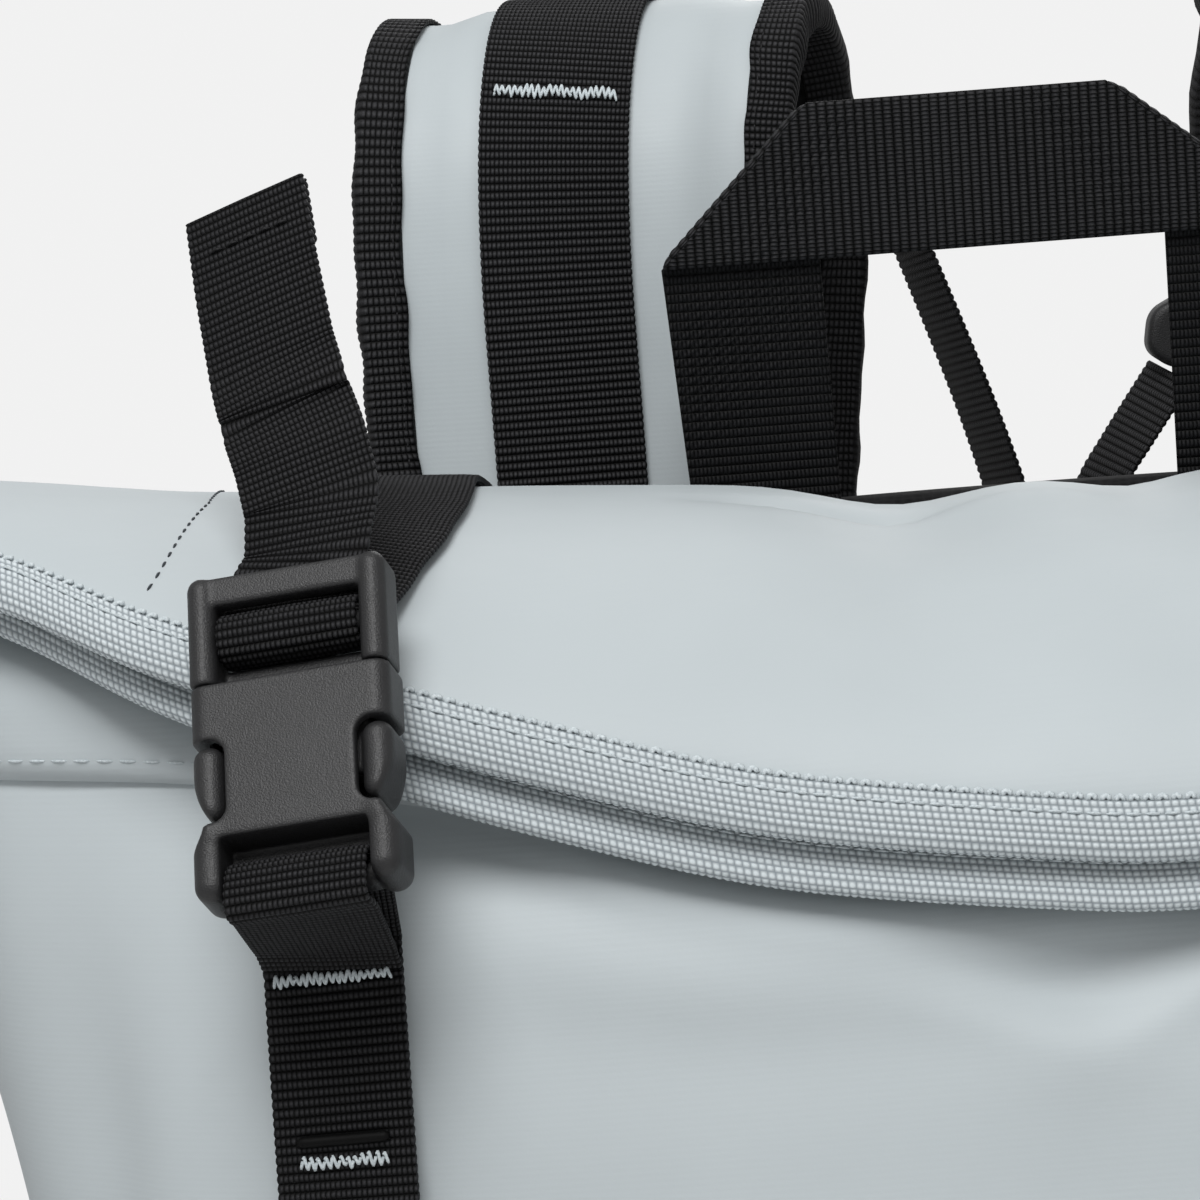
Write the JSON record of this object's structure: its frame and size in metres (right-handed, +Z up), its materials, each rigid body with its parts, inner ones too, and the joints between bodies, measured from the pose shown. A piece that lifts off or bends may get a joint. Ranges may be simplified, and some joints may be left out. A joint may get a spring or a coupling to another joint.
{
  "type": "cooler backpack",
  "caption": "Soft insulated roll-top cooler backpack in pale coated cloth with black webbing, side-release buckles, a haul handle and padded shoulder straps.",
  "frame": {"origin": "centre of the flat base, on the floor", "axes": "+Z up, -Y is the front with the two buckles, +X is the viewer's right when looking at the front"},
  "size_m": [0.4286, 0.2647, 0.4782],
  "materials": {
    "tarp": "pale blue-grey coated cloth, satin",
    "strap_tarp": "pale blue-grey coated cloth over padding, satin",
    "grosgrain": "light grey ribbed grosgrain tape",
    "webbing": "black ribbed webbing, matt",
    "black_cloth": "black woven cloth, matt",
    "plastic": "black moulded plastic, fine pebbled face"
  },
  "bodies": {
    "root": {"body_shell": "tarp", "roll_collar": "tarp", "lip_tape_outer": "grosgrain", "lip_tape_inner": "grosgrain", "back_panel": "black_cloth", "haul_handle": "webbing", "shoulder_strap_left": "strap_tarp", "strap_binding_inner_left": "black_cloth", "strap_binding_outer_left": "black_cloth", "strap_webbing_left": "webbing", "ladder_lock_left": "plastic", "adjuster_webbing_left": "webbing", "shoulder_strap_right": "strap_tarp", "strap_binding_inner_right": "black_cloth", "strap_binding_outer_right": "black_cloth", "strap_webbing_right": "webbing", "ladder_lock_right": "plastic", "adjuster_webbing_right": "webbing", "sternum_webbing": "webbing", "sternum_buckle": "plastic", "buckle_socket_left": "plastic", "buckle_tongue_left": "plastic", "closure_strap_left": "webbing", "front_strap_left": "webbing", "buckle_socket_right": "plastic", "buckle_tongue_right": "plastic", "closure_strap_right": "webbing", "front_strap_right": "webbing"}
  },
  "joints": []
}
